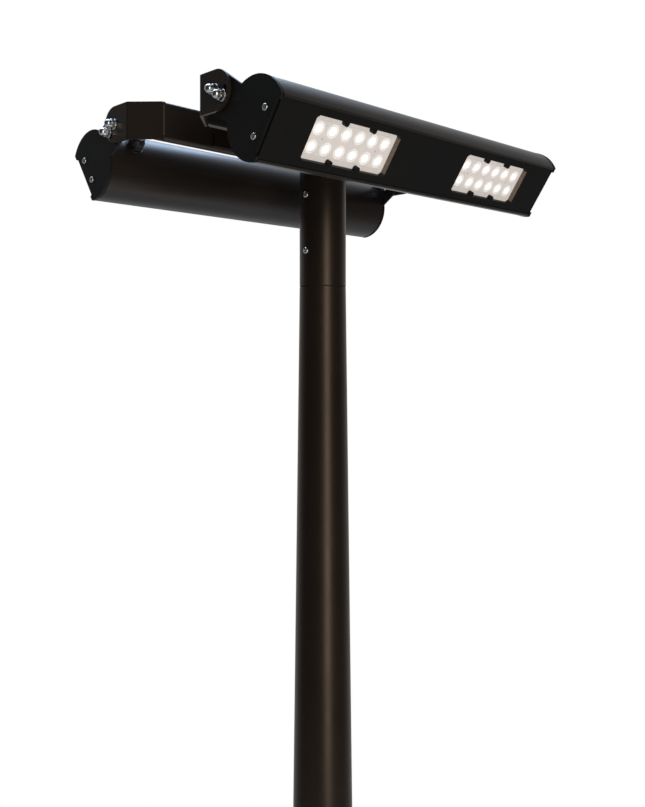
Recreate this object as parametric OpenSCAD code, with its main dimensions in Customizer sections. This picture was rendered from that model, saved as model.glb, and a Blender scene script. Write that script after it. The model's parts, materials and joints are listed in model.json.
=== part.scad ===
// Pole-top twin floodlight: two long LED lamp heads hung back to back from folded brackets on a
// tube adapter that turns on the tenon of a tapered round steel pole.
// Millimetres, +Z up, origin at the underside of the base plate, lamp heads lie along X.

/* [Pole] */
// height of the pole's top edge above the ground
pole_height = 3050; // [2400:10:4200]
// outer diameter at the top
pole_top_d = 76.2; // [74:0.1:84]
// outer diameter at the base
pole_base_d = 152.4; // [130:0.1:180]
// wall of the pole tube
pole_wall = 3; // [2.5:0.1:4.5]
// side of the square base plate
base_size = 280; // [260:5:340]
// thickness of the base plate
base_t = 19; // [12:1:30]
// diameter of the anchor bolt circle
bolt_circle = 280; // [260:5:300]
// diameter of the anchor holes
anchor_hole_d = 24; // [18:1:28]
// height of the hand hole's centre
handhole_z = 450; // [350:10:900]
// clear width of the hand hole
handhole_w = 64; // [50:1:70]
// clear height of the hand hole
handhole_h = 114; // [90:1:140]

/* [Yoke] */
// length of the crossarm channel
channel_l = 380; // [340:5:460]
// top of the crossarm above the pole's top edge
channel_top = 258; // [240:1:262]
// height of the crossarm channel
channel_h = 48; // [44:1:52]
// folded sheet of the crossarm
channel_t = 3; // [2:0.5:4]
// wall of the adapter tube
sleeve_wall = 4; // [3:0.5:5]
// heights of the two rows of clamp screws
screw_row_low = 58.3; // [40:0.1:80]
screw_row_high = 149.2; // [120:0.1:160]
// distance of a bracket web from the pole's axis
web_y = 48.5; // [45:0.5:60]
// folded sheet of the brackets
bracket_t = 4; // [3:0.5:5]
// half height of a bracket, and the radius of its rounded ears
ear_r = 27.5; // [25:0.5:30]
// width of the web's stiffening flanges
flange_w = 16; // [10:0.5:20]

/* [Lamp head] */
// length over the end plates
head_l = 627; // [560:1:760]
// distance of the tilt axis from the pole's axis
pivot_y = 122.2; // [115:0.1:150]
// tilt axis above the pole's top edge
pivot_h = 234; // [230:0.5:240]
// tilt of the lamp face below the horizontal
head_tilt = 34; // [20:1:45]
// tilt axis to the centre of the round housing
arm = 88.2; // [84:0.1:100]
// radius of the housing
housing_r = 54.5; // [52:0.1:60]
// depth cut off the housing's circle at its front lips
front_cut = 24.5; // [22.5:0.1:26.5]
// wall of the housing
housing_wall = 3.5; // [3:0.1:4.5]
// thickness of the end plates
plate_t = 4; // [3:0.5:5]
// half width of the end plate's mounting lug
lug_r = 26; // [24:0.5:28]
// radius of the lock bolt's arc
lock_r = 18; // [17:0.1:19]
// window length
window_l = 164; // [150:1:180]
// window width
window_w = 62.5; // [58:0.5:64]
// window centre from the middle of the head
window_x = 160.3; // [120:0.1:175]
// pitch of the lenses along the head
lens_pitch = 25.9; // [24:0.1:27]
// distance between the two rows of lenses
lens_rows = 25.6; // [24:0.1:28]

/* [Fits] */
// space between faces that move past each other
move_gap = 0.3; // [0.2:0.05:0.6]
// radial running clearance of the tilt bolts
pivot_gap = 0.08; // [0.04:0.01:0.1]
// radial clearance of fixed screws and bolts in their holes
screw_gap = 0.2; // [0.1:0.05:0.4]
// space round the tenon's welded rings, the joint ring and the hand hole's frame
weld_gap = 0.15; // [0.1:0.05:0.4]

/* [Hidden] */
$fn = 96;
top_r = pole_top_d / 2;
base_r = pole_base_d / 2;
shaft_h = pole_height - base_t;
// pole radius at a height
function pole_r(z) = base_r + (top_r - base_r) * (z - base_t) / shaft_h;
gasket_h = 1.5;
sleeve_z = gasket_h + move_gap;
sleeve_in = top_r - sleeve_wall;
tenon_r = sleeve_in - move_gap;
tenon_wall = 4;
tenon_up = 180;
tenon_down = 200;
channel_under = channel_top - channel_t;
clamp_r = 3;
clamp_head = 5.25;
clamp_seat = top_r - 0.5;
half = head_l / 2;
ear_in = half + move_gap;
ear_out = ear_in + bracket_t;
bend_r = 1;
fold_r = bend_r + bracket_t;
bend_y = 88.2;
// corner where the bracket's slanted leg meets its web
web_x = ear_out - 38.3;
slant = atan2(bend_y - web_y, ear_out - web_x);
leg_x = web_x - fold_r * tan(slant / 2);
leg_y = bend_y + fold_r * tan((90 - slant) / 2);
// the relief notches lie between the flanged web and the slanted legs
flange_x = web_x - 3.5;
relief_x = web_x + fold_r * tan(slant / 2) * cos(slant);
bolt_r = 4;
slot_r = bolt_r + move_gap;
slot_top = 0;
slot_low = 55;
web_bolts_x = [-150, -62, 62, 150];
gasket_t = 1.5;
housing_half = half - plate_t - gasket_t;
cavity_r = housing_r - housing_wall;
plate_r = housing_r + 0.5;
// housing centre to the plane of the front lips
lip = housing_r - front_cut;
cover_z = sqrt(housing_r * housing_r - lip * lip) - 3.8;
tongue = 1.5;
spread_z = housing_r - 9.5;
end_screw_n = lip - 18.5;
end_screw_u = 19.6;
gland_x = half - 48.5;
gland_seat = housing_r + 0.8;
driver_l = 250;
driver_w = housing_r - 23.5;
driver_h = lip;

bronze = [0.12, 0.10, 0.09];
black = [0.06, 0.06, 0.06];
steel = [0.72, 0.72, 0.70];
alloy = [0.62, 0.63, 0.64];
clear = [0.92, 0.90, 0.86];

// ---- helpers ----

// a profile drawn in (Y, Z), extruded from x0 to x1
module along_x(x0, x1) {
    translate([x0, 0, 0]) rotate([90, 0, 90]) linear_extrude(x1 - x0) children();
}

// a round bar along X at (y, z)
module xbar(r, x0, x1, y = 0, z = 0) {
    translate([x0, y, z]) rotate([0, 90, 0]) cylinder(r = r, h = x1 - x0);
}

// a round bar along Y from y0 to y1
module ybar(r, y0, y1, x = 0, z = 0) {
    translate([x, y1, z]) rotate([90, 0, 0]) cylinder(r = r, h = y1 - y0);
}

// an upright slot of the given width and height, facing -Y
module stadium(w, h, y0, y1) {
    for (s = [-1, 1]) ybar(w / 2, y0, y1, 0, s * (h - w) / 2);
    translate([-w / 2, y0, -(h - w) / 2]) cube([w, y1 - y0, h - w]);
}

// the parts of the yoke, above the pole's top edge
module on_top() {
    translate([0, 0, pole_height]) children();
}

// the frame of a lamp head: tilt axis on X, lamp face towards -Y
module on_head(rear) {
    rotate([0, 0, rear * 180]) translate([0, -pivot_y, pole_height + pivot_h])
        rotate([head_tilt, 0, 0]) children();
}

// a low round screw head with a hex socket, rising along +Z
module button(r, h, key) {
    difference() {
        union() {
            cylinder(r = r, h = h * 0.4);
            translate([0, 0, h * 0.4]) cylinder(r1 = r, r2 = r * 0.62, h = h * 0.6);
        }
        translate([0, 0, h * 0.45]) cylinder(r = key, h = h, $fn = 6);
    }
}

// ---- pole ----

module base_plate() {
    color(bronze) difference() {
        translate([-base_size / 2, -base_size / 2, 0]) cube([base_size, base_size, base_t]);
        translate([0, 0, -1]) cylinder(r = base_r - 22, h = base_t + 2);
        for (a = [45:90:315]) rotate([0, 0, a]) translate([bolt_circle / 2, 0, -1])
            cylinder(d = anchor_hole_d, h = base_t + 2);
    }
}

module pole_shaft() {
    color(bronze) difference() {
        union() {
            translate([0, 0, base_t]) cylinder(r1 = base_r, r2 = top_r, h = shaft_h);
            translate([0, 0, base_t]) cylinder(r1 = base_r + 8, r2 = base_r - 0.2, h = 8);
        }
        translate([0, 0, base_t])
            cylinder(r1 = base_r - pole_wall, r2 = top_r - pole_wall, h = shaft_h);
        translate([0, 0, handhole_z])
            stadium(handhole_w + 12 + 2 * weld_gap, handhole_h + 12 + 2 * weld_gap,
                -base_r - 20, -20);
    }
}

module handhole_frame() {
    color(bronze) translate([0, -pole_r(handhole_z), handhole_z]) difference() {
        stadium(handhole_w + 12, handhole_h + 12, -4, 16);
        stadium(handhole_w, handhole_h, -5, 17);
        for (s = [-1, 1]) ybar(2.5 + screw_gap, -5, 9, 0, s * (handhole_h / 2 + 3));
    }
}

module handhole_cover() {
    color(bronze) translate([0, -pole_r(handhole_z), handhole_z]) difference() {
        stadium(handhole_w + 12, handhole_h + 12, -7, -4);
        for (s = [-1, 1]) ybar(2.5 + screw_gap, -8, -3, 0, s * (handhole_h / 2 + 3));
    }
}

module handhole_screws() {
    color(steel) translate([0, -pole_r(handhole_z), handhole_z])
        for (s = [-1, 1]) translate([0, 0, s * (handhole_h / 2 + 3)]) {
            translate([0, -7, 0]) rotate([90, 0, 0]) button(4.7, 2.8, 1.7);
            ybar(2.5, -7, 8);
        }
}

module pole_tenon() {
    low = pole_height - tenon_down;
    off = pole_wall + weld_gap;
    color(bronze) difference() {
        union() {
            translate([0, 0, low]) cylinder(r = tenon_r, h = tenon_down + tenon_up);
            for (z = [low, pole_height - 12]) translate([0, 0, z])
                cylinder(r1 = pole_r(z) - off, r2 = pole_r(z + 12) - off, h = 12);
        }
        translate([0, 0, low - 1])
            cylinder(r = tenon_r - tenon_wall, h = tenon_down + tenon_up + 2);
    }
}

module joint_gasket() {
    color(black) on_top() difference() {
        cylinder(r = top_r - 0.8, h = gasket_h);
        translate([0, 0, -1]) cylinder(r = tenon_r + weld_gap, h = gasket_h + 2);
    }
}

// ---- yoke ----

module adapter_sleeve() {
    color(bronze) on_top() difference() {
        translate([0, 0, sleeve_z]) cylinder(r = top_r, h = channel_under - sleeve_z);
        cylinder(r = sleeve_in, h = channel_top);
        for (z = [screw_row_low, screw_row_high], s = [-1, 1]) {
            xbar(clamp_r + screw_gap, s > 0 ? 20 : -60, s > 0 ? 60 : -20, 0, z);
            xbar(clamp_head + 0.4, s > 0 ? clamp_seat : -60, s > 0 ? 60 : -clamp_seat, 0, z);
        }
    }
}

module adapter_screws() {
    color(steel) on_top() for (z = [screw_row_low, screw_row_high], a = [0, 180])
        translate([0, 0, z]) rotate([0, 0, a]) {
            translate([clamp_seat, 0, 0]) rotate([0, 90, 0]) button(clamp_head, 3.3, 2.3);
            xbar(clamp_r, sleeve_in, clamp_seat);
        }
}

// inverted channel with rounded top folds
module adapter_channel() {
    fold = channel_t + 1.5;
    color(bronze) on_top() difference() {
        along_x(-channel_l / 2, channel_l / 2) difference() {
            union() {
                translate([-web_y, channel_top - channel_h])
                    square([2 * web_y, channel_h - fold]);
                translate([-web_y + fold, channel_top - fold - 1])
                    square([2 * (web_y - fold), fold + 1]);
                for (s = [-1, 1]) translate([s * (web_y - fold), channel_top - fold])
                    circle(r = fold);
            }
            translate([-web_y + channel_t, channel_top - channel_h - 1])
                square([2 * (web_y - channel_t), channel_h + 1 - channel_t]);
        }
        for (x = web_bolts_x) ybar(bolt_r + screw_gap, -web_y - 1, web_y + 1, x, pivot_h);
    }
}

// points along an arc
function arc(c, r, a0, a1, n = 8) =
    [for (i = [0:n]) c + r * [cos(a0 + (a1 - a0) * i / n), sin(a0 + (a1 - a0) * i / n)]];

// plan of the sheet from the web's end through the slanted leg to the ear, on the +X side
module bracket_plan() {
    c0 = [leg_x, -web_y - fold_r];
    c1 = [ear_out - fold_r, -leg_y];
    x0 = flange_x - 2;
    polygon(concat([[x0, -web_y]],
        arc(c0, fold_r, 90, 90 - slant), arc(c1, fold_r, 90 - slant, 0),
        [[ear_out, -pivot_y], [ear_in, -pivot_y]],
        arc(c1, bend_r, 0, 90 - slant), arc(c0, bend_r, 90 - slant, 90),
        [[x0, -web_y - bracket_t]]));
}

// the flanged web's section in (Y, Z), about the bracket's mid height
module web_section() {
    y0 = -web_y - flange_w;
    up = [-web_y - fold_r, ear_r - fold_r];
    low = [-web_y - fold_r, fold_r - ear_r];
    polygon(concat([[y0, ear_r]], arc(up, fold_r, 90, 0), arc(low, fold_r, 0, -90),
        [[y0, -ear_r], [y0, bracket_t - ear_r]],
        arc(low, bend_r, -90, 0), arc(up, bend_r, 0, 90), [[y0, ear_r - bracket_t]]));
}

// the flanged web, its flange ends cut parallel to the slanted legs
module flanged_web() {
    run = (flange_w - fold_r) / tan(slant);
    far = flange_x + run + 1;
    difference() {
        along_x(-flange_x - run, flange_x + run) web_section();
        for (a = [0, 1]) mirror([a, 0, 0]) translate([0, 0, -ear_r - 1])
            linear_extrude(2 * ear_r + 2) polygon([[flange_x, 0], [flange_x, -web_y - fold_r],
                [flange_x + run, -web_y - flange_w], [far, -web_y - flange_w], [far, 0]]);
    }
}

// one bracket's ear, slanted leg and web end on the +X side, with relief notches at the bend
module bracket_side() {
    difference() {
        union() {
            translate([0, 0, -ear_r]) linear_extrude(2 * ear_r) bracket_plan();
            xbar(ear_r, ear_in, ear_out, -pivot_y, 0);
        }
        for (z = [-ear_r - 1, ear_r - fold_r - 0.1])
            translate([flange_x - 10, -web_y - fold_r - 3, z])
                cube([relief_x - flange_x + 10, fold_r + 4, fold_r + 1.1]);
        xbar(bolt_r + pivot_gap, ear_in - 1, ear_out + 1, -pivot_y, 0);
        translate([0, -pivot_y, 0]) lock_slot();
    }
}

// the arc slot that the lock bolt travels in
module lock_slot() {
    mid = (slot_top + slot_low) / 2;
    along_x(ear_in - 1, ear_out + 1) {
        intersection() {
            difference() {
                circle(r = lock_r + slot_r);
                circle(r = lock_r - slot_r);
            }
            polygon([[0, 0], [-60 * cos(slot_top), -60 * sin(slot_top)],
                [-80 * cos(mid), -80 * sin(mid)],
                [-60 * cos(slot_low), -60 * sin(slot_low)]]);
        }
        for (a = [slot_top, slot_low])
            translate([-lock_r * cos(a), -lock_r * sin(a)]) circle(r = slot_r);
    }
}

module bracket(rear) {
    color(bronze) rotate([0, 0, rear * 180]) translate([0, 0, pole_height + pivot_h])
        difference() {
            union() {
                flanged_web();
                bracket_side();
                mirror([1, 0, 0]) bracket_side();
            }
            for (x = web_bolts_x)
                ybar(bolt_r + screw_gap, -web_y - bracket_t - 1, -web_y + 1, x, 0);
        }
}

module front_bracket() {
    bracket(0);
}

module rear_bracket() {
    bracket(1);
}

module bracket_bolts() {
    color(steel) for (a = [0, 180], x = web_bolts_x)
        rotate([0, 0, a]) translate([x, 0, pole_height + pivot_h]) {
            translate([0, -web_y - bracket_t, 0]) rotate([90, 0, 0])
                cylinder(r = 7.5, h = 5.3, $fn = 6);
            ybar(bolt_r, -web_y - bracket_t, -web_y + channel_t + 9);
        }
}

module bracket_nuts() {
    color(steel) for (a = [0, 180], x = web_bolts_x)
        rotate([0, 0, a]) translate([x, -web_y + channel_t, pole_height + pivot_h])
            rotate([-90, 0, 0]) difference() {
                cylinder(r = 7.5, h = 6.5, $fn = 6);
                translate([0, 0, -1]) cylinder(r = bolt_r + 0.1, h = 9);
            }
}

// ---- lamp head, in its own frame ----

// distance behind the lip plane, as a Y value
function yd(d) = d - arm - lip;

// a disc about the housing centre, cut flat at the front
module d_disc(r, flat) {
    intersection() {
        translate([-arm, 0]) circle(r = r);
        translate([-arm - flat, -100]) square([flat + 100, 200]);
    }
}

// a band across the section, between two depths behind the lip plane
module band(d0, d1, z) {
    translate([yd(d0), -z]) square([d1 - d0, 2 * z]);
}

module housing() {
    color(bronze) difference() {
        union() {
            along_x(-housing_half, housing_half) difference() {
                d_disc(housing_r, lip);
                band(-1, 2.7, cover_z + move_gap);
                band(2.69, 5, cover_z + tongue + move_gap);
                band(4.99, 8, 36);
                intersection() {
                    d_disc(cavity_r, lip);
                    band(7.99, 22.2, 80);
                }
                band(22.19, 25.2, housing_r - 14.5);
                intersection() {
                    d_disc(cavity_r, lip);
                    band(25.19, 200, 80);
                }
            }
            ybar(15, -arm + cavity_r - 4, -arm + gland_seat, gland_x);
        }
        ybar(10 + screw_gap, -arm + 30, -arm + 80, gland_x);
    }
}

// D-shaped end plate with its mounting lug
module plate_section() {
    difference() {
        union() {
            difference() {
                d_disc(plate_r, lip);
                band(-1, 4, 38);
            }
            translate([-arm, -lug_r]) square([arm, 2 * lug_r]);
            circle(r = lug_r);
        }
        circle(r = bolt_r + screw_gap);
        translate([-lock_r, 0]) circle(r = bolt_r + screw_gap);
        for (s = [-1, 1]) translate([-arm - end_screw_n, s * end_screw_u])
            circle(r = 2.5 + screw_gap);
    }
}

module end_plate_left() {
    color(black) along_x(-half, -half + plate_t) plate_section();
}

module end_plate_right() {
    color(black) along_x(half - plate_t, half) plate_section();
}

module end_gaskets() {
    color(black) for (x = [-half + plate_t, half - plate_t - gasket_t])
        along_x(x, x + gasket_t) difference() {
            d_disc(housing_r - 0.6, lip - 6);
            d_disc(cavity_r - 0.5, lip - 9);
            band(14, 22.6, spread_z + move_gap);
        }
}

module end_screws() {
    color(steel) for (a = [0, 1], s = [-1, 1]) mirror([a, 0, 0])
        translate([0, -arm - end_screw_n, s * end_screw_u]) {
            translate([half, 0, 0]) rotate([0, 90, 0]) button(4.7, 2.8, 1.7);
            xbar(2.5, half - plate_t - 14, half);
        }
}

module cover() {
    color(black) difference() {
        union() {
            along_x(-half + plate_t, half - plate_t) {
                band(1, 5, cover_z);
                band(3, 5, cover_z + tongue);
            }
            for (x = [-window_x, window_x])
                translate([x - window_l / 2 - 2.5, yd(4.9), -window_w / 2 - 2.5])
                    cube([window_l + 5, 4.6, window_w + 5]);
        }
        for (x = [-window_x, window_x]) window_cut(x);
    }
}

// a window with chamfered corners and half-round tabs left standing on its long sides
module window_cut(x) {
    c = 4;
    l = window_l / 2;
    w = window_w / 2;
    translate([x, yd(-1), 0]) rotate([-90, 0, 0]) difference() {
        linear_extrude(12) polygon([[-l, -w + c], [-l + c, -w], [l - c, -w], [l, -w + c],
            [l, w - c], [l - c, w], [-l + c, w], [-l, w - c]]);
        for (s = [-1, 1], t = [-27, 27]) {
            translate([t, s * (w - 2.5), -1]) cylinder(r = 4, h = 10);
            translate([t - 4, s * (w - 1) - 1.5, -1]) cube([8, 3, 10]);
        }
    }
}

module heat_spreader() {
    color(alloy) difference() {
        along_x(-half + plate_t, half - plate_t) band(14.8, 22.2, spread_z);
        for (a = [0, 1], s = [-1, 1]) mirror([a, 0, 0])
            xbar(2.6, half - plate_t - 15, half, -arm - end_screw_n, s * end_screw_u);
        for (p = driver_screw_at()) ybar(2.1, yd(15.9), yd(23), p[0], p[1]);
    }
}

module led_boards() {
    color([0.93, 0.93, 0.91]) for (x = [-window_x, window_x])
        translate([x - window_l / 2 + 2, yd(13.2), -window_w / 2 + 2])
            cube([window_l - 4, 1.6, window_w - 4]);
}

module led_chips() {
    color([0.95, 0.86, 0.45]) for (x = [-window_x, window_x], i = [-2.5:1:2.5], s = [-1, 1])
        translate([x + i * lens_pitch - 1.75, yd(12.5), s * lens_rows / 2 - 1.75])
            cube([3.5, 0.7, 3.5]);
}

// moulded lens plate with twelve domes, its skirt resting on the heat spreader
module lens(x) {
    l = window_l / 2 + 2.5;
    w = window_w / 2 + 2.5;
    bulge = (6.5 * 6.5 + 1.3 * 1.3) / 2.6;
    color(clear) translate([x, 0, 0]) {
        difference() {
            translate([-l, yd(9.5), -w]) cube([2 * l, 5.3, 2 * w]);
            translate([-l + 3, yd(11.5), -w + 3]) cube([2 * l - 6, 6, 2 * w - 6]);
        }
        translate([-l + 10, yd(8.7), -w + 8.5]) cube([2 * l - 20, 0.9, 2 * w - 17]);
        for (i = [-2.5:1:2.5], s = [-1, 1])
            translate([i * lens_pitch, yd(7.4) + bulge, s * lens_rows / 2]) intersection() {
                sphere(r = bulge);
                ybar(6.5, -bulge - 1, -bulge + 1.4);
            }
        for (t = [-2, 2]) ybar(1.5, yd(8.3), yd(9), t * lens_pitch, 0);
    }
}

module lens_left() {
    lens(-window_x);
}

module lens_right() {
    lens(window_x);
}

function driver_screw_at() = [for (s = [-1, 1], t = [-1, 1]) [s * (driver_l / 2 + 7), t * (driver_w - 11)]];

module driver() {
    color(alloy) difference() {
        union() {
            translate([-driver_l / 2, yd(22.2), -driver_w])
                cube([driver_l, driver_h, 2 * driver_w]);
            translate([-driver_l / 2 - 14, yd(22.2), -driver_w])
                cube([driver_l + 28, 2, 2 * driver_w]);
        }
        for (p = driver_screw_at()) ybar(2.2, yd(21), yd(25), p[0], p[1]);
    }
}

module driver_screws() {
    color(steel) for (p = driver_screw_at()) {
        translate([p[0], yd(24.2), p[1]]) rotate([-90, 0, 0]) button(3.8, 2.4, 1.2);
        ybar(2, yd(16.4), yd(24.2), p[0], p[1]);
    }
}

module gland_body() {
    color(black) translate([gland_x, -arm, 0]) difference() {
        union() {
            translate([0, gland_seat, 0]) rotate([-90, 0, 0])
                cylinder(r = 13.8, h = 5, $fn = 6);
            ybar(10, gland_seat - 16, gland_seat);
        }
        ybar(5, gland_seat - 20, gland_seat + 9);
    }
}

module gland_cap() {
    color(black) translate([gland_x, -arm + gland_seat + 5, 0]) rotate([-90, 0, 0])
        difference() {
            union() {
                cylinder(r = 11.2, h = 9);
                translate([0, 0, 9]) cylinder(r1 = 11.2, r2 = 8, h = 4);
                for (a = [0:30:330]) rotate([0, 0, a]) translate([10.4, -1.2, 0])
                    cube([1.8, 2.4, 8.5]);
            }
            translate([0, 0, -1]) cylinder(r = 5, h = 20);
        }
}

module gland_nut() {
    color(black) translate([gland_x, -arm + cavity_r - 4, 0]) rotate([90, 0, 0])
        difference() {
            cylinder(r = 13.8, h = 4, $fn = 6);
            translate([0, 0, -1]) cylinder(r = 10.1, h = 6);
        }
}

// round-headed bolt through the lug and ear at both ends, at a distance from the tilt axis
module head_bolts(n) {
    color(steel) for (a = [0, 1]) mirror([a, 0, 0]) translate([0, -n, 0]) {
        xbar(bolt_r, half - plate_t, ear_out + 10.5);
        translate([half - plate_t, 0, 0]) rotate([0, -90, 0]) button(7, 4.4, 2.6);
    }
}

module head_washers(n) {
    x0 = ear_out + move_gap;
    color(steel) for (a = [0, 1]) mirror([a, 0, 0]) difference() {
        xbar(8, x0, x0 + 1.6, -n);
        xbar(bolt_r + screw_gap, x0 - 1, x0 + 3, -n);
    }
}

// domed cap nuts
module head_nuts(n) {
    x0 = ear_out + move_gap + 1.6;
    color(steel) for (a = [0, 1]) mirror([a, 0, 0]) translate([x0, -n, 0]) difference() {
        union() {
            rotate([0, 90, 0]) rotate([0, 0, 30]) cylinder(r = 7.5, h = 6.5, $fn = 6);
            xbar(5.9, 6.4, 8.8);
            translate([8.8, 0, 0]) sphere(r = 5.9);
        }
        xbar(bolt_r + 0.1, -1, 9.5);
    }
}

// ---- nodes ----

base_plate();
pole_shaft();
handhole_frame();
handhole_cover();
handhole_screws();
pole_tenon();
joint_gasket();
adapter_sleeve();
adapter_channel();
adapter_screws();
front_bracket();
rear_bracket();
bracket_bolts();
bracket_nuts();
on_head(0) housing();  // front_housing
on_head(0) end_plate_left();  // front_end_plate_left
on_head(0) end_plate_right();  // front_end_plate_right
on_head(0) end_gaskets();  // front_end_gaskets
on_head(0) end_screws();  // front_end_screws
on_head(0) cover();  // front_cover
on_head(0) heat_spreader();  // front_heat_spreader
on_head(0) led_boards();  // front_led_boards
on_head(0) led_chips();  // front_led_chips
on_head(0) lens_left();  // front_lens_left
on_head(0) lens_right();  // front_lens_right
on_head(0) driver();  // front_driver
on_head(0) driver_screws();  // front_driver_screws
on_head(0) gland_body();  // front_gland_body
on_head(0) gland_cap();  // front_gland_cap
on_head(0) gland_nut();  // front_gland_nut
on_head(0) head_bolts(0);  // front_pivot_bolts
on_head(0) head_washers(0);  // front_pivot_washers
on_head(0) head_nuts(0);  // front_pivot_nuts
on_head(0) head_bolts(lock_r);  // front_lock_bolts
on_head(0) head_washers(lock_r);  // front_lock_washers
on_head(0) head_nuts(lock_r);  // front_lock_nuts
on_head(1) housing();  // rear_housing
on_head(1) end_plate_left();  // rear_end_plate_left
on_head(1) end_plate_right();  // rear_end_plate_right
on_head(1) end_gaskets();  // rear_end_gaskets
on_head(1) end_screws();  // rear_end_screws
on_head(1) cover();  // rear_cover
on_head(1) heat_spreader();  // rear_heat_spreader
on_head(1) led_boards();  // rear_led_boards
on_head(1) led_chips();  // rear_led_chips
on_head(1) lens_left();  // rear_lens_left
on_head(1) lens_right();  // rear_lens_right
on_head(1) driver();  // rear_driver
on_head(1) driver_screws();  // rear_driver_screws
on_head(1) gland_body();  // rear_gland_body
on_head(1) gland_cap();  // rear_gland_cap
on_head(1) gland_nut();  // rear_gland_nut
on_head(1) head_bolts(0);  // rear_pivot_bolts
on_head(1) head_washers(0);  // rear_pivot_washers
on_head(1) head_nuts(0);  // rear_pivot_nuts
on_head(1) head_bolts(lock_r);  // rear_lock_bolts
on_head(1) head_washers(lock_r);  // rear_lock_washers
on_head(1) head_nuts(lock_r);  // rear_lock_nuts
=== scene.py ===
import json
import math

import bmesh
import bpy
import numpy as np
from mathutils import Matrix, Vector


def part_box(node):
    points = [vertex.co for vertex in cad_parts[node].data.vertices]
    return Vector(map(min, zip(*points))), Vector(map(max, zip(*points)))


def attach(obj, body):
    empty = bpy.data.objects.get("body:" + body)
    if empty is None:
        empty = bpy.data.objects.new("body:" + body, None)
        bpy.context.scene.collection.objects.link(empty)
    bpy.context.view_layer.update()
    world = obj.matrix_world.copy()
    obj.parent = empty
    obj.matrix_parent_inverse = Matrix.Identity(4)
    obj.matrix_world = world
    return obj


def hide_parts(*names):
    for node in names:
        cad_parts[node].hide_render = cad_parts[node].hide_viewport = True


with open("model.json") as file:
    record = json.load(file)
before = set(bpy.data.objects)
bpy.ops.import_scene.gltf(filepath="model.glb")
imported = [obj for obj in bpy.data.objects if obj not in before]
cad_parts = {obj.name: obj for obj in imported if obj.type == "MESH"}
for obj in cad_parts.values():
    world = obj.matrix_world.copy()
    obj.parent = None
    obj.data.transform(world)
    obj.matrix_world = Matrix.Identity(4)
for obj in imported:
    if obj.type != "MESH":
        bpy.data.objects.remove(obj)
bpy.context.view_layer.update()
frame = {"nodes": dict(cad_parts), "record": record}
nodes = frame["nodes"]
scene = bpy.context.scene

# ---- sizes of the part, in metres ----
TOP = 3.050            # the pole's top edge
PIVOT_Y = 0.1222       # tilt axis from the pole's axis
PIVOT_Z = TOP + 0.234
TILT = math.radians(34)
ARM = 0.0882           # tilt axis to the housing's centre
LIP = 0.030            # housing centre to the lip plane
HALF = 0.3135          # half a head's length over its end plates
EAR_OUT = HALF + 0.0003 + 0.004     # running gap, then the ear's sheet
LOCK = 0.018           # lock bolt from the tilt axis
WIN_X = 0.1603         # window's middle from the head's middle
WIN_L = 0.164          # window's length
PITCH = 0.0259         # domes along the lens plate
ROWS = 0.0256          # domes across it
GLAND_X = 0.265
SEAT = 0.0545 + 0.0008  # housing's radius and the gland body's gasket
BASE_R = 0.0762        # pole's radius above the base plate
TOP_R = 0.0381         # pole's radius at its top, and the sleeve's
BASE_T = 0.019         # base plate
POLE_L = 3.031         # base plate to the pole's top
HOLE_SCREW = 0.060     # hand hole screw from the cover's middle
CLAMP_Z = (0.0583, 0.1492)  # adapter's clamp screws above the pole's top
SLEEVE_TOP = 0.2545    # sleeve's weld above the pole's top
END_Y = 0.0115         # end screws from the housing's middle, outwards
END_Z = 0.0196         # end screws to each side
FILL_X = 0.2785        # a bracket's bend relief: along, out and up from the tilt axis's height
FILL_Y = 0.0505
FILL_Z = 0.0249

HEADS = {
    "front": Matrix.Translation((0, -PIVOT_Y, PIVOT_Z)) @ Matrix.Rotation(TILT, 4, "X"),
    "rear": Matrix.Rotation(math.pi, 4, "Z")
    @ Matrix.Translation((0, -PIVOT_Y, PIVOT_Z))
    @ Matrix.Rotation(TILT, 4, "X"),
}

# ---- camera ----
cam_data = bpy.data.cameras.new("camera")
cam = bpy.data.objects.new("camera", cam_data)
scene.collection.objects.link(cam)
cam.location = (-1.0479, -1.0578, 2.9359)
cam.rotation_euler = (math.radians(90), 0, math.radians(-44.74))
cam_data.sensor_width = 36
cam_data.lens = 40.30
cam_data.shift_x = -0.0005
cam_data.shift_y = -0.0576
cam_data.clip_start = 0.02
cam_data.clip_end = 200
scene.camera = cam


# ---- materials ----
def new_material(name):
    mat = bpy.data.materials.new(name)
    mat.use_nodes = True
    tree = mat.node_tree
    return mat, tree, tree.nodes["Principled BSDF"]


def add(tree, kind, **values):
    node = tree.nodes.new(kind)
    for key, value in values.items():
        if key in node.inputs:
            node.inputs[key].default_value = value
        else:
            setattr(node, key, value)
    return node


def noise(tree, coord, scale, detail=2.0, stretch=(1, 1, 1)):
    out = coord
    if stretch != (1, 1, 1):
        mapping = add(tree, "ShaderNodeMapping", Scale=stretch)
        tree.links.new(coord, mapping.inputs["Vector"])
        out = mapping.outputs["Vector"]
    n = add(tree, "ShaderNodeTexNoise", Scale=scale, Detail=detail)
    tree.links.new(out, n.inputs["Vector"])
    return n.outputs["Fac"]


def spread(tree, fac, low, high, a=0.3, b=0.7):
    """a noise value mapped to a range of numbers"""
    m = add(tree, "ShaderNodeMapRange")
    for key, value in (("From Min", a), ("From Max", b), ("To Min", low), ("To Max", high)):
        m.inputs[key].default_value = value
    tree.links.new(fac, m.inputs["Value"])
    return m.outputs["Result"]


def shade(tree, fac, c0, c1, a=0.3, b=0.7):
    ramp = add(tree, "ShaderNodeValToRGB")
    ramp.color_ramp.elements[0].position = a
    ramp.color_ramp.elements[1].position = b
    ramp.color_ramp.elements[0].color = (*c0, 1)
    ramp.color_ramp.elements[1].color = (*c1, 1)
    tree.links.new(fac, ramp.inputs["Fac"])
    return ramp.outputs["Color"]


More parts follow.
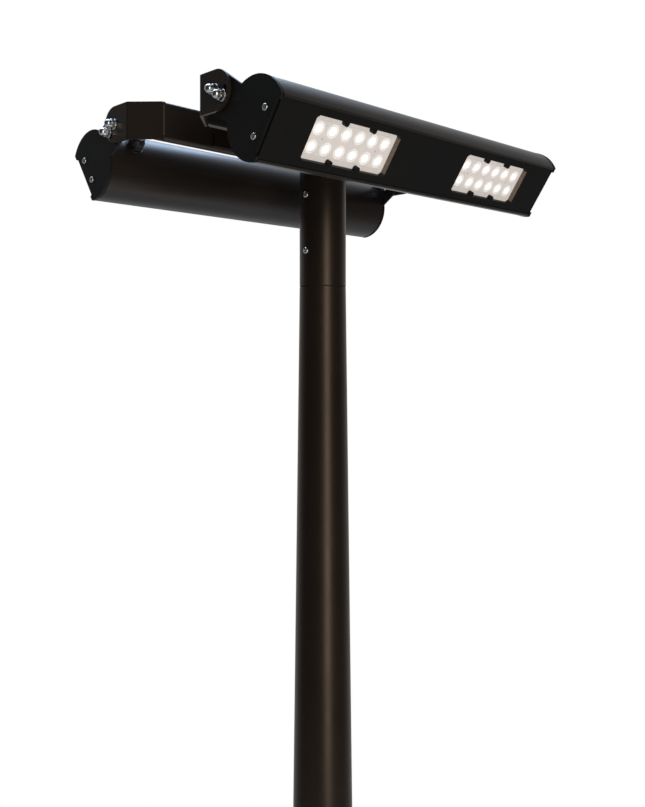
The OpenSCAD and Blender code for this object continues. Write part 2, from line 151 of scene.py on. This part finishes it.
def bump(tree, shader, height, distance, strength=1.0, under=None):
    b = add(tree, "ShaderNodeBump", Strength=strength, Distance=distance)
    tree.links.new(height, b.inputs["Height"])
    if under is not None:
        tree.links.new(under, b.inputs["Normal"])
    tree.links.new(b.outputs["Normal"], shader.inputs["Normal"])
    return b.outputs["Normal"]


def number(tree, kind, a, b):
    """a math node on a value and a second value or plain number"""
    m = add(tree, "ShaderNodeMath", operation=kind)
    tree.links.new(a, m.inputs[0])
    if isinstance(b, float):
        m.inputs[1].default_value = b
    else:
        tree.links.new(b, m.inputs[1])
    return m.outputs[0]


def powder_coat(name, col, rough, vary=0.16, lines=False, specular=0.5, metal=0.0):
    """powder coat: fine orange peel, slow drift in colour and gloss, die lines on extrusions"""
    mat, tree, p = new_material(name)
    co = add(tree, "ShaderNodeTexCoord").outputs["Object"]
    slow = noise(tree, co, 6.0, 3.0)
    lo = tuple(c * (1 - vary) for c in col)
    hi = tuple(c * (1 + vary) for c in col)
    tree.links.new(shade(tree, slow, lo, hi), p.inputs["Base Color"])
    patch = noise(tree, co, 38.0, 3.0)
    tree.links.new(spread(tree, patch, rough - 0.02, rough + 0.02), p.inputs["Roughness"])
    peel = noise(tree, co, 620.0, 3.0)
    normal = bump(tree, p, peel, 0.00003, 0.8)
    if lines:
        streak = noise(tree, co, 1.0, 2.0, (2.0, 420.0, 420.0))
        bump(tree, p, streak, 0.00006, 0.7, normal)
    p.inputs["Specular IOR Level"].default_value = specular
    p.inputs["Metallic"].default_value = metal
    return mat


def stainless(name, rough):
    mat, tree, p = new_material(name)
    co = add(tree, "ShaderNodeTexCoord").outputs["Object"]
    n = noise(tree, co, 260.0, 3.0)
    tree.links.new(shade(tree, n, (0.74, 0.74, 0.73), (0.88, 0.88, 0.87)), p.inputs["Base Color"])
    tree.links.new(spread(tree, n, rough - 0.05, rough + 0.10), p.inputs["Roughness"])
    turned = noise(tree, co, 1.0, 2.0, (1800.0, 260.0, 260.0))
    bump(tree, p, turned, 0.00002, 0.5)
    p.inputs["Metallic"].default_value = 1.0
    return mat


def plastic(name, col, rough, peel=700.0, depth=0.00002):
    mat, tree, p = new_material(name)
    co = add(tree, "ShaderNodeTexCoord").outputs["Object"]
    slow = noise(tree, co, 60.0, 3.0)
    tree.links.new(
        shade(tree, slow, tuple(c * 0.85 for c in col), tuple(min(1, c * 1.12) for c in col)),
        p.inputs["Base Color"],
    )
    tree.links.new(spread(tree, slow, rough - 0.05, rough + 0.05), p.inputs["Roughness"])
    bump(tree, p, noise(tree, co, peel, 2.0), depth, 0.7)
    return mat


def lit_plastic(name, col, rough, glow, glow_col):
    """clear moulding over the lit board: pale body with its own light"""
    mat = plastic(name, col, rough, 900.0, 0.00001)
    p = mat.node_tree.nodes["Principled BSDF"]
    p.inputs["Emission Color"].default_value = (*glow_col, 1)
    p.inputs["Emission Strength"].default_value = glow
    p.inputs["Coat Weight"].default_value = 0.4
    p.inputs["Coat Roughness"].default_value = 0.08
    return mat


def bare_alloy(name):
    mat, tree, p = new_material(name)
    co = add(tree, "ShaderNodeTexCoord").outputs["Object"]
    n = noise(tree, co, 1.0, 3.0, (6.0, 500.0, 500.0))
    tree.links.new(shade(tree, n, (0.52, 0.53, 0.54), (0.70, 0.71, 0.72)), p.inputs["Base Color"])
    tree.links.new(spread(tree, n, 0.28, 0.42), p.inputs["Roughness"])
    bump(tree, p, n, 0.00003, 0.6)
    p.inputs["Metallic"].default_value = 1.0
    return mat


BRONZE = (0.062, 0.046, 0.034)
M = {
    "bronze": powder_coat("bronze_coat", BRONZE, 0.36, vary=0.10, metal=0.65),
    "bracket": powder_coat("bracket_coat", (0.042, 0.031, 0.023), 0.36, vary=0.10, metal=0.25),
    "housing": powder_coat("housing_coat", (0.025, 0.0180, 0.0135), 0.33, vary=0.07, lines=True,
                           specular=0.55),
    "plate": powder_coat("plate_coat", (0.0105, 0.0110, 0.0106), 0.50, specular=0.30),
    "cover": powder_coat("cover_coat", (0.0080, 0.0079, 0.0077), 0.60, specular=0.2),
    "stainless": stainless("stainless", 0.24),
    "alloy": bare_alloy("bare_alloy"),
    "rubber": plastic("gasket", (0.02, 0.02, 0.02), 0.7, 900.0, 0.00004),
    "gland": plastic("gland", (0.016, 0.016, 0.017), 0.42, 800.0, 0.00003),
    "lens": lit_plastic("lens", (0.60, 0.57, 0.54), 0.3, 0.42, (1.0, 0.93, 0.87)),
    "ring": lit_plastic("lens_ring", (0.7, 0.68, 0.66), 0.2, 0.60, (1.0, 0.95, 0.90)),
    "dome": lit_plastic("lens_dome", (0.9, 0.9, 0.9), 0.15, 1.5, (1.0, 0.985, 0.96)),
    # dimmer glow on the dome rims: painted shade on the lit domes
    "dome_shaded_rim": lit_plastic("lens_dome_edge", (0.8, 0.78, 0.76), 0.15, 0.74, (1.0, 0.955, 0.91)),
    "peg": lit_plastic("lens_peg", (0.5, 0.46, 0.42), 0.4, 0.25, (1.0, 0.92, 0.85)),
    "board": plastic("board", (0.85, 0.85, 0.83), 0.45),
    "chip": lit_plastic("chip", (0.85, 0.7, 0.25), 0.4, 2.0, (1.0, 0.93, 0.75)),
}

# the end walls of the cover's windows get a lighter brown base colour: their thin coat on the punched
# edge, and a painted highlight of the lens light they catch
mat = M["cover"]
tree = mat.node_tree
where = add(tree, "ShaderNodeTexCoord")
side = add(tree, "ShaderNodeSeparateXYZ")
tree.links.new(where.outputs["Normal"], side.inputs[0])
spot = add(tree, "ShaderNodeSeparateXYZ")
tree.links.new(where.outputs["Object"], spot.inputs[0])

from_window = number(tree, "SUBTRACT", number(tree, "ABSOLUTE", spot.outputs["X"], 0.0), WIN_X)
from_end = number(tree, "SUBTRACT", number(tree, "ABSOLUTE", from_window, 0.0), WIN_L / 2)
mask = number(
    tree,
    "MULTIPLY",
    number(tree, "GREATER_THAN", number(tree, "ABSOLUTE", side.outputs["X"], 0.0), 0.9),
    number(tree, "LESS_THAN", number(tree, "ABSOLUTE", from_end, 0.0), 0.0008),
)
p = tree.nodes["Principled BSDF"]
over = add(tree, "ShaderNodeMix", data_type="RGBA")
tree.links.new(mask, over.inputs["Factor"])
tree.links.new(p.inputs["Base Color"].links[0].from_socket, over.inputs[6])
coat_and_highlight_grain = noise(tree, where.outputs["Object"], 300.0, 2.0)
# lighter brown for the window end walls: painted highlight over their thin coat
tree.links.new(shade(tree, coat_and_highlight_grain, (0.20, 0.155, 0.12), (0.28, 0.22, 0.17)), over.inputs[7])
tree.links.new(over.outputs[2], p.inputs["Base Color"])

SLOT_MATERIAL = {
    "bronze_coat": "bronze",
    "bracket_coat": "bracket",
    "housing_coat": "housing",
    "plate_coat": "plate",
    "cover_coat": "cover",
    "stainless": "stainless",
    "bare_alloy": "alloy",
    "gasket": "rubber",
    "gland": "gland",
    "lens": "lens",
    "board": "board",
    "chip": "chip",
}
for entry in frame["record"]["subparts"]:
    ob = nodes[entry["node"]]
    ob.data.materials.clear()
    ob.data.materials.append(M[SLOT_MATERIAL[entry["material_slot"]]])


# ---- mesh helpers ----
def make(name, verts, faces, mats, face_mats=None, matrix=None):
    mesh = bpy.data.meshes.new(name)
    if matrix is not None:
        verts = [matrix @ Vector(v) for v in verts]
    mesh.from_pydata([tuple(v) for v in verts], [], faces)
    for key in mats:
        mesh.materials.append(M[key])
    if face_mats is not None:
        for poly, index in zip(mesh.polygons, face_mats):
            poly.material_index = index
    bm = bmesh.new()
    bm.from_mesh(mesh)
    bmesh.ops.recalc_face_normals(bm, faces=bm.faces)
    bm.to_mesh(mesh)
    bm.free()
    for poly in mesh.polygons:
        poly.use_smooth = True
    mesh.set_sharp_from_angle(angle=math.radians(38))
    ob = bpy.data.objects.new(name, mesh)
    scene.collection.objects.link(ob)
    return ob


def lathe(profile, n=40):
    """vertices and faces of a profile of (radius, height) turned about +Z"""
    verts, faces = [], []
    rings = []
    for r, z in profile:
        if r < 1e-7:
            rings.append([len(verts)])
            verts.append((0, 0, z))
        else:
            rings.append(list(range(len(verts), len(verts) + n)))
            verts += [
                (r * math.cos(2 * math.pi * i / n), r * math.sin(2 * math.pi * i / n), z)
                for i in range(n)
            ]
    for a, b in zip(rings, rings[1:]):
        for i in range(n):
            j = (i + 1) % n
            if len(a) == 1:
                faces.append((a[0], b[i], b[j]))
            elif len(b) == 1:
                faces.append((a[i], a[j], b[0]))
            else:
                faces.append((a[i], a[j], b[j], b[i]))
    return verts, faces


def merge(parts):
    verts, faces = [], []
    for v, f in parts:
        k = len(verts)
        verts += list(v)
        faces += [tuple(i + k for i in face) for face in f]
    return verts, faces


def place(parts, matrix):
    return [([tuple(matrix @ Vector(v)) for v in vs], fs) for vs, fs in parts]


def along(direction, origin):
    """a matrix that takes +Z to a direction, at an origin"""
    q = Vector((0, 0, 1)).rotation_difference(Vector(direction))
    return Matrix.Translation(origin) @ q.to_matrix().to_4x4()


def socket_head(r, h, key, depth, n=36):
    """round button head with a hex socket, its seat at z = 0"""
    prof = []
    steps = 9
    top_r = key * 1.22
    for i in range(steps + 1):
        t = i / steps
        a = t * math.pi / 2
        rr = top_r + (r - top_r) * math.cos(a)
        prof.append((rr, h * 0.22 + h * 0.78 * math.sin(a)))
    prof = [(r * 0.995, 0.0), (r, h * 0.04)] + prof
    verts, faces = lathe(prof, n)
    # ring of the top edge down to a hexagonal pocket
    edge = list(range(len(verts) - n, len(verts)))

    def hex_r(a, rr):
        k = math.pi / 3
        return rr * math.cos(k / 2) / math.cos((a % k) - k / 2)

    last = edge
    for rr, z in ((key, h - 0.0001), (key * 0.985, h - depth), (0.0, h - depth - 0.0003)):
        if rr == 0.0:
            c = len(verts)
            verts.append((0, 0, z))
            faces += [(last[i], last[(i + 1) % n], c) for i in range(n)]
            break
        ring = []
        for i in range(n):
            a = 2 * math.pi * i / n
            q = hex_r(a, rr)
            ring.append(len(verts))
            verts.append((q * math.cos(a), q * math.sin(a), z))
        faces += [(last[i], last[(i + 1) % n], ring[(i + 1) % n], ring[i]) for i in range(n)]
        last = ring
    return verts, faces


def cap_nut(n=48):
    """domed cap nut on its seat at z = 0: chamfered hexagon, short neck and dome"""
    af, hgt = 0.0065, 0.0065
    verts, faces = [], []
    rings = []

    def hex_ring(z, limit):
        ring = []
        for i in range(n):
            a = 2 * math.pi * i / n
            k = math.pi / 3
            q = min(af / math.cos((a % k) - k / 2), limit)
            ring.append(len(verts))
            verts.append((q * math.cos(a), q * math.sin(a), z))
        rings.append(ring)

    def round_ring(r, z):
        ring = []
        for i in range(n):
            a = 2 * math.pi * i / n
            ring.append(len(verts))
            verts.append((r * math.cos(a), r * math.sin(a), z))
        rings.append(ring)

    hex_ring(0.0, 0.0066)
    hex_ring(0.0004, 0.0071)
    hex_ring(0.0009, 0.0076)
    hex_ring(hgt - 0.0012, 0.0076)
    hex_ring(hgt - 0.0006, 0.0071)
    hex_ring(hgt, 0.0064)
    round_ring(0.0060, hgt + 0.0001)
    round_ring(0.0059, hgt + 0.0005)
    for i in range(0, 9):
        a = i / 9 * math.pi / 2
        round_ring(0.0059 * math.cos(a), 0.0088 + 0.0059 * math.sin(a))
    for a, b in zip(rings, rings[1:]):
        faces += [(a[i], a[(i + 1) % n], b[(i + 1) % n], b[i]) for i in range(n)]
    c = len(verts)
    verts.append((0, 0, 0.0147))
    faces += [(rings[-1][i], rings[-1][(i + 1) % n], c) for i in range(n)]
    return verts, faces


def washer(r0, r1, h, n=40):
    c = h * 0.18
    section = [
        (r0, c), (r0 + c, 0), (r1 - c, 0), (r1, c), (r1, h - c),
        (r1 - c, h), (r0 + c, h), (r0, h - c), (r0, c),
    ]
    return lathe(section, n)


def bar(r, h, n=28):
    return lathe([(0, 0), (r, 0), (r, h - 0.0005), (r - 0.0005, h), (0, h)], n)


# ---- lens plates ----
def lens_plate():
    """moulded plate seen through a window: flange, raised field, twelve domes in ring recesses"""
    hl, hw = 0.0845, 0.03375
    fl, fw = 0.0745, 0.02525
    xs = np.linspace(-hl, hl, 283)
    zs = np.linspace(-hw, hw, 115)
    gx, gz = np.meshgrid(xs, zs, indexing="ij")
    # height above the flange
    edge = np.minimum(fl - np.abs(gx), fw - np.abs(gz))
    field = np.clip(edge / 0.0012, 0, 1)
    h = 0.0008 * field * field * (3 - 2 * field)
    kind = np.zeros(gx.shape, int)
    for i in range(6):
        for s in (-1, 1):
            cx, cz = (i - 2.5) * PITCH, s * ROWS / 2
            d = np.hypot(gx - cx, gz - cz)
            dome = 0.0013 * np.clip(1 - (d / 0.0066) ** 2, 0, None) ** 0.6
            ring = 0.00035 * np.exp(-(((d - 0.0088) / 0.0007) ** 2))
            dip = -0.0003 * np.exp(-(((d - 0.0075) / 0.0006) ** 2))
            h = h + dome + ring + dip
            # each dome's rim glows dimmer and its brighter core sits off the middle toward one side:
            # painted shading on the lit domes
            kind[d < 0.0066] = 4
            kind[np.hypot(gx - cx + 0.0008, gz - cz - 0.0006) < 0.0049] = 2
            kind[(d >= 0.0081) & (d < 0.0095)] = 1
    for s in (-2, 2):
        d = np.hypot(gx - s * PITCH, gz)
        h = h + np.where(d < 0.0015, 0.0003, 0)
        kind[d < 0.0014] = 3
    y = -(ARM + LIP) + 0.0095 - h
    nx, nz = gx.shape
    verts = [(float(gx[i, j]), float(y[i, j]), float(gz[i, j])) for i in range(nx) for j in range(nz)]
    faces, mats = [], []
    for i in range(nx - 1):
        for j in range(nz - 1):
            a = i * nz + j
            faces.append((a, a + nz, a + nz + 1, a + 1))
            mats.append(int(max(kind[i, j], kind[i + 1, j + 1])))
    # skirt down to the heat spreader
    back = -(ARM + LIP) + 0.0148
    rim = (
        [(i, 0) for i in range(nx)]
        + [(nx - 1, j) for j in range(1, nz)]
        + [(i, nz - 1) for i in range(nx - 2, -1, -1)]
        + [(0, j) for j in range(nz - 2, 0, -1)]
    )
    k = len(verts)
    verts += [(float(gx[i, j]), back, float(gz[i, j])) for i, j in rim]
    for n in range(len(rim)):
        m = (n + 1) % len(rim)
        a = rim[n][0] * nz + rim[n][1]
        b = rim[m][0] * nz + rim[m][1]
        faces.append((a, b, k + m, k + n))
        mats.append(0)
    return verts, faces, mats


plate_v, plate_f, plate_m = lens_plate()
for head, matrix in HEADS.items():
    for side, x in (("left", -WIN_X), ("right", WIN_X)):
        ob = make(
            f"{head}_lens_plate_{side}",
            plate_v,
            plate_f,
            ["lens", "ring", "dome", "peg", "dome_shaded_rim"],
            plate_m,
            matrix=matrix @ Matrix.Translation((x, 0, 0)),
        )
        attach(ob, f"{head}_head")
        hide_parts(f"{head}_lens_{side}")

# ---- bolts, nuts and washers at the tilt joints ----
for head, matrix in HEADS.items():
    for kind, n in (("pivot", 0.0), ("lock", LOCK)):
        nuts, washers, bolts = [], [], []
        for s in (-1, 1):
            turn = 0.12 if kind == "pivot" else 0.47
            seat = EAR_OUT + 0.0003
            spin = Matrix.Rotation(turn * s, 4, "Z")
            out = matrix @ along((s, 0, 0), (s * seat, -n, 0))
            washers += place([washer(0.0042, 0.008, 0.0016)], out)
            top = matrix @ along((s, 0, 0), (s * (seat + 0.0016), -n, 0)) @ spin
            nuts += place([cap_nut()], top)
            inner = matrix @ along((-s, 0, 0), (s * (HALF - 0.004), -n, 0))
            bolts += place([socket_head(0.007, 0.0044, 0.0026, 0.0022)], inner)
            bolts += place([bar(0.004, 0.0181)], matrix @ along((s, 0, 0), (s * (HALF - 0.004), -n, 0)))
        for label, parts in (("nuts", nuts), ("washers", washers), ("bolts", bolts)):
            v, f = merge(parts)
            ob = make(f"{head}_{kind}_{label}_turned", v, f, ["stainless"])
            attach(ob, f"{head}_head")
            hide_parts(f"{head}_{kind}_{label}")
    parts = []
    for s in (-1, 1):
        for t in (-1, 1):
            at = (s * HALF, -ARM - END_Y, t * END_Z)
            parts += place([socket_head(0.0047, 0.0028, 0.0014, 0.0010)], matrix @ along((s, 0, 0), at))
            at = (s * (HALF - 0.018), at[1], at[2])
            parts += place([bar(0.0025, 0.018)], matrix @ along((s, 0, 0), at))
    v, f = merge(parts)
    ob = make(f"{head}_end_screws_turned", v, f, ["stainless"])
    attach(ob, f"{head}_head")
    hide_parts(f"{head}_end_screws")

# ---- clamp screws and hand hole screws ----
parts = []
for z in CLAMP_Z:
    for s in (-1, 1):
        head_at = along((s, 0, 0), (s * 0.0376, 0, TOP + z))
        parts += place([socket_head(0.00525, 0.0033, 0.0018, 0.0013)], head_at)
        parts += place([bar(0.003, 0.0035)], along((s, 0, 0), (s * 0.0341, 0, TOP + z)))
v, f = merge(parts)
ob = make("adapter_screws_turned", v, f, ["stainless"])
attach(ob, "yoke")
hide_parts("adapter_screws")

lo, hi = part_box("handhole_cover")
parts = []
for s in (-1, 1):
    z = (lo.z + hi.z) / 2 + s * HOLE_SCREW
    parts += place([socket_head(0.0047, 0.0028, 0.0014, 0.0010)], along((0, -1, 0), (0, lo.y, z)))
    parts += place([bar(0.0025, 0.015)], along((0, 1, 0), (0, lo.y, z)))
v, f = merge(parts)
ob = make("handhole_screws_turned", v, f, ["stainless"])
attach(ob, "pole")
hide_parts("handhole_screws")

# ---- cable glands ----
def gland_cap(n=72):
    verts, faces, rings = [], [], []
    steps = [
        (0.0050, 0.0000, 0), (0.0107, 0.0000, 0), (0.0113, 0.0005, 1), (0.0113, 0.0078, 1),
        (0.0110, 0.0086, 0.4), (0.0106, 0.0096, 0), (0.0098, 0.0112, 0), (0.0086, 0.0124, 0),
        (0.0072, 0.0130, 0), (0.0056, 0.0130, 0), (0.0050, 0.0126, 0), (0.0050, 0.0000, 0),
    ]
    for r, z, rib in steps:
        ring = []
        for i in range(n):
            a = 2 * math.pi * i / n
            q = r + rib * 0.0008 * (0.5 + 0.5 * math.cos(a * 18)) ** 0.6
            ring.append(len(verts))
            verts.append((q * math.cos(a), q * math.sin(a), z))
        rings.append(ring)
    for a, b in zip(rings, rings[1:]):
        faces += [(a[i], a[(i + 1) % n], b[(i + 1) % n], b[i]) for i in range(n)]
    return verts, faces


for head, matrix in HEADS.items():
    at = matrix @ along((0, 1, 0), (GLAND_X, -ARM + SEAT + 0.005, 0))
    v, f = merge(place([gland_cap()], at))
    ob = make(f"{head}_gland_cap_ribbed", v, f, ["gland"])
    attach(ob, f"{head}_head")
    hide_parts(f"{head}_gland_cap")


# ---- weld beads ----
def bead(path, normals, r, seed):
    """a fillet bead with its overlapping ripples, along a closed path of points"""
    rng = np.random.default_rng(seed)
    verts, faces = [], []
    m = len(path)
    k = 8
    wob = rng.normal(0, 0.05, m)
    for i in range(m):
        p = Vector(path[i])
        out = Vector(normals[i]).normalized()
        tangent = (Vector(path[(i + 1) % m]) - Vector(path[i - 1])).normalized()
        side = tangent.cross(out).normalized()
        rr = r * (1 + 0.10 * abs(math.sin(i * 0.9)) + wob[i] * 0.4)
        for j in range(k):
            a = 2 * math.pi * j / k
            verts.append(tuple(p + out * rr * math.cos(a) + side * rr * math.sin(a)))
    for i in range(m):
        n = (i + 1) % m
        for j in range(k):
            q = (j + 1) % k
            faces.append((i * k + j, n * k + j, n * k + q, i * k + q))
    return verts, faces


def ring_path(r, z, n):
    pts = [(r * math.cos(2 * math.pi * i / n), r * math.sin(2 * math.pi * i / n), z) for i in range(n)]
    return pts, [(p[0], p[1], 0) for p in pts]


# sleeve to crossarm
pts, nor = ring_path(TOP_R, TOP + SLEEVE_TOP, 150)
v, f = bead(pts, nor, 0.0022, seed=3)
ob = make("sleeve_weld", v, f, ["bronze"])
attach(ob, "yoke")

# small plugs in the brackets' bend reliefs, which are open in the CAD: dark bracket-coated pieces that
# stand in for the shade inside the open reliefs
fill = [
    (0, -0.0027), (0.0014, -0.0025), (0.0022, -0.0016), (0.0025, -0.0008), (0.0023, -0.0003),
    (0.0026, 0.0004), (0.0023, 0.0009), (0.0021, 0.0017), (0.0013, 0.0025), (0, 0.0027),
]
parts = []
for head in HEADS:
    turn = Matrix.Rotation(math.pi if head == "rear" else 0.0, 4, "Z")
    for s in (-1, 1):
        for t in (-1, 1):
            at = Matrix.Translation((s * FILL_X, -FILL_Y, PIVOT_Z + t * FILL_Z))
            parts += place([lathe(fill, 20)], turn @ at)
v, f = merge(parts)
ob = make("bracket_relief_shade_plugs", v, f, ["bracket"])
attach(ob, "yoke")

# hand hole frame to pole
zc = (lo.z + hi.z) / 2
pts, nor = [], []
hw, hh = 0.038, 0.063
n = 200
straight = hh - hw
total = 4 * straight + 2 * math.pi * hw
for i in range(n):
    t = total * i / n
    if t < 2 * straight:
        x, z, d = hw, -straight + t, (1, 0)
    elif t < 2 * straight + math.pi * hw:
        a = (t - 2 * straight) / hw
        x, z, d = hw * math.cos(a), straight + hw * math.sin(a), (math.cos(a), math.sin(a))
    elif t < 4 * straight + math.pi * hw:
        x, z, d = -hw, straight - (t - 2 * straight - math.pi * hw), (-1, 0)
    else:
        a = math.pi + (t - 4 * straight - math.pi * hw) / hw
        x, z, d = hw * math.cos(a), -straight + hw * math.sin(a), (math.cos(a), math.sin(a))
    rz = BASE_R + (TOP_R - BASE_R) * (zc + z - BASE_T) / POLE_L
    pts.append((x, -math.sqrt(rz * rz - x * x), zc + z))
    nor.append((d[0], -0.6, d[1]))
v, f = bead(pts, nor, 0.0020, seed=5)
ob = make("handhole_weld", v, f, ["bronze"])
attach(ob, "pole")

# ---- soft edges on the CAD nodes ----
for name, ob in nodes.items():
    for poly in ob.data.polygons:
        poly.use_smooth = True
    if any(a.name == "sharp_edge" for a in ob.data.attributes):
        continue
    ob.data.set_sharp_from_angle(angle=math.radians(30))

# ---- floor, background and lights ----
bm = bmesh.new()
bmesh.ops.create_circle(bm, cap_ends=True, radius=4.0, segments=128)
mesh = bpy.data.meshes.new("floor")
bm.to_mesh(mesh)
bm.free()
floor = bpy.data.objects.new("floor", mesh)
scene.collection.objects.link(floor)
floor.location = (0, 0, -0.0005)
mat, tree, p = new_material("floor")
co = add(tree, "ShaderNodeTexCoord").outputs["Object"]
tree.links.new(
    shade(tree, noise(tree, co, 3.0, 2.0), (0.80, 0.77, 0.74), (0.84, 0.81, 0.78)),
    p.inputs["Base Color"],
)
p.inputs["Roughness"].default_value = 0.9
floor.data.materials.append(mat)

world = bpy.data.worlds.new("studio")
scene.world = world
world.use_nodes = True
tree = world.node_tree
tree.nodes.clear()
out = tree.nodes.new("ShaderNodeOutputWorld")
seen = add(tree, "ShaderNodeBackground", Color=(1, 1, 1, 1), Strength=1.0)
# a pale backdrop behind the lamp heads, dimmer all round
lit = tree.nodes.new("ShaderNodeBackground")
way = add(tree, "ShaderNodeTexCoord").outputs["Generated"]
dot = add(tree, "ShaderNodeVectorMath", operation="DOT_PRODUCT")
dot.inputs[1].default_value = (0.704, 0.710, 0.0)
tree.links.new(way, dot.inputs[0])
tree.links.new(
    shade(tree, dot.outputs["Value"], (0.030, 0.030, 0.032), (0.55, 0.55, 0.55), 0.05, 0.85),
    lit.inputs["Color"],
)
# and a pale patch of ceiling above them
ceiling = tree.nodes.new("ShaderNodeBackground")
high = add(tree, "ShaderNodeVectorMath", operation="DOT_PRODUCT")
high.inputs[1].default_value = (0.24, 0.30, 0.92)
tree.links.new(way, high.inputs[0])
tree.links.new(
    shade(tree, high.outputs["Value"], (0, 0, 0), (0.50, 0.62, 0.82), 0.82, 0.95),
    ceiling.inputs["Color"],
)
both = tree.nodes.new("ShaderNodeAddShader")
tree.links.new(lit.outputs[0], both.inputs[0])
tree.links.new(ceiling.outputs[0], both.inputs[1])
path = tree.nodes.new("ShaderNodeLightPath")
mix = tree.nodes.new("ShaderNodeMixShader")
tree.links.new(path.outputs["Is Camera Ray"], mix.inputs["Fac"])
tree.links.new(both.outputs[0], mix.inputs[1])
tree.links.new(seen.outputs[0], mix.inputs[2])
tree.links.new(mix.outputs[0], out.inputs["Surface"])


def area(name, at, target, size, power, color, size_y=None):
    data = bpy.data.lights.new(name, "AREA")
    data.shape = "RECTANGLE"
    data.size = size
    data.size_y = size_y or size
    data.energy = power
    data.color = color
    ob = bpy.data.objects.new(name, data)
    scene.collection.objects.link(ob)
    ob.location = at
    ob.rotation_euler = (Vector(target) - Vector(at)).to_track_quat("-Z", "Y").to_euler()


area("top_softbox", (0.3, 1.05, 5.5), (0, 0, 3.2), 2.4, 72, (0.52, 0.71, 1.0))
area("under_fill", (0.9, -0.7, 0.2), (0, 0.2, 3.2), 1.2, 9, (1.0, 0.78, 0.58))
area("front_strip", (-1.25, -2.8, 2.7), (0, 0, 2.7), 1.0, 33, (1.0, 0.90, 0.80), 3.6)

scene.view_settings.view_transform = "Standard"
scene.view_settings.look = "None"
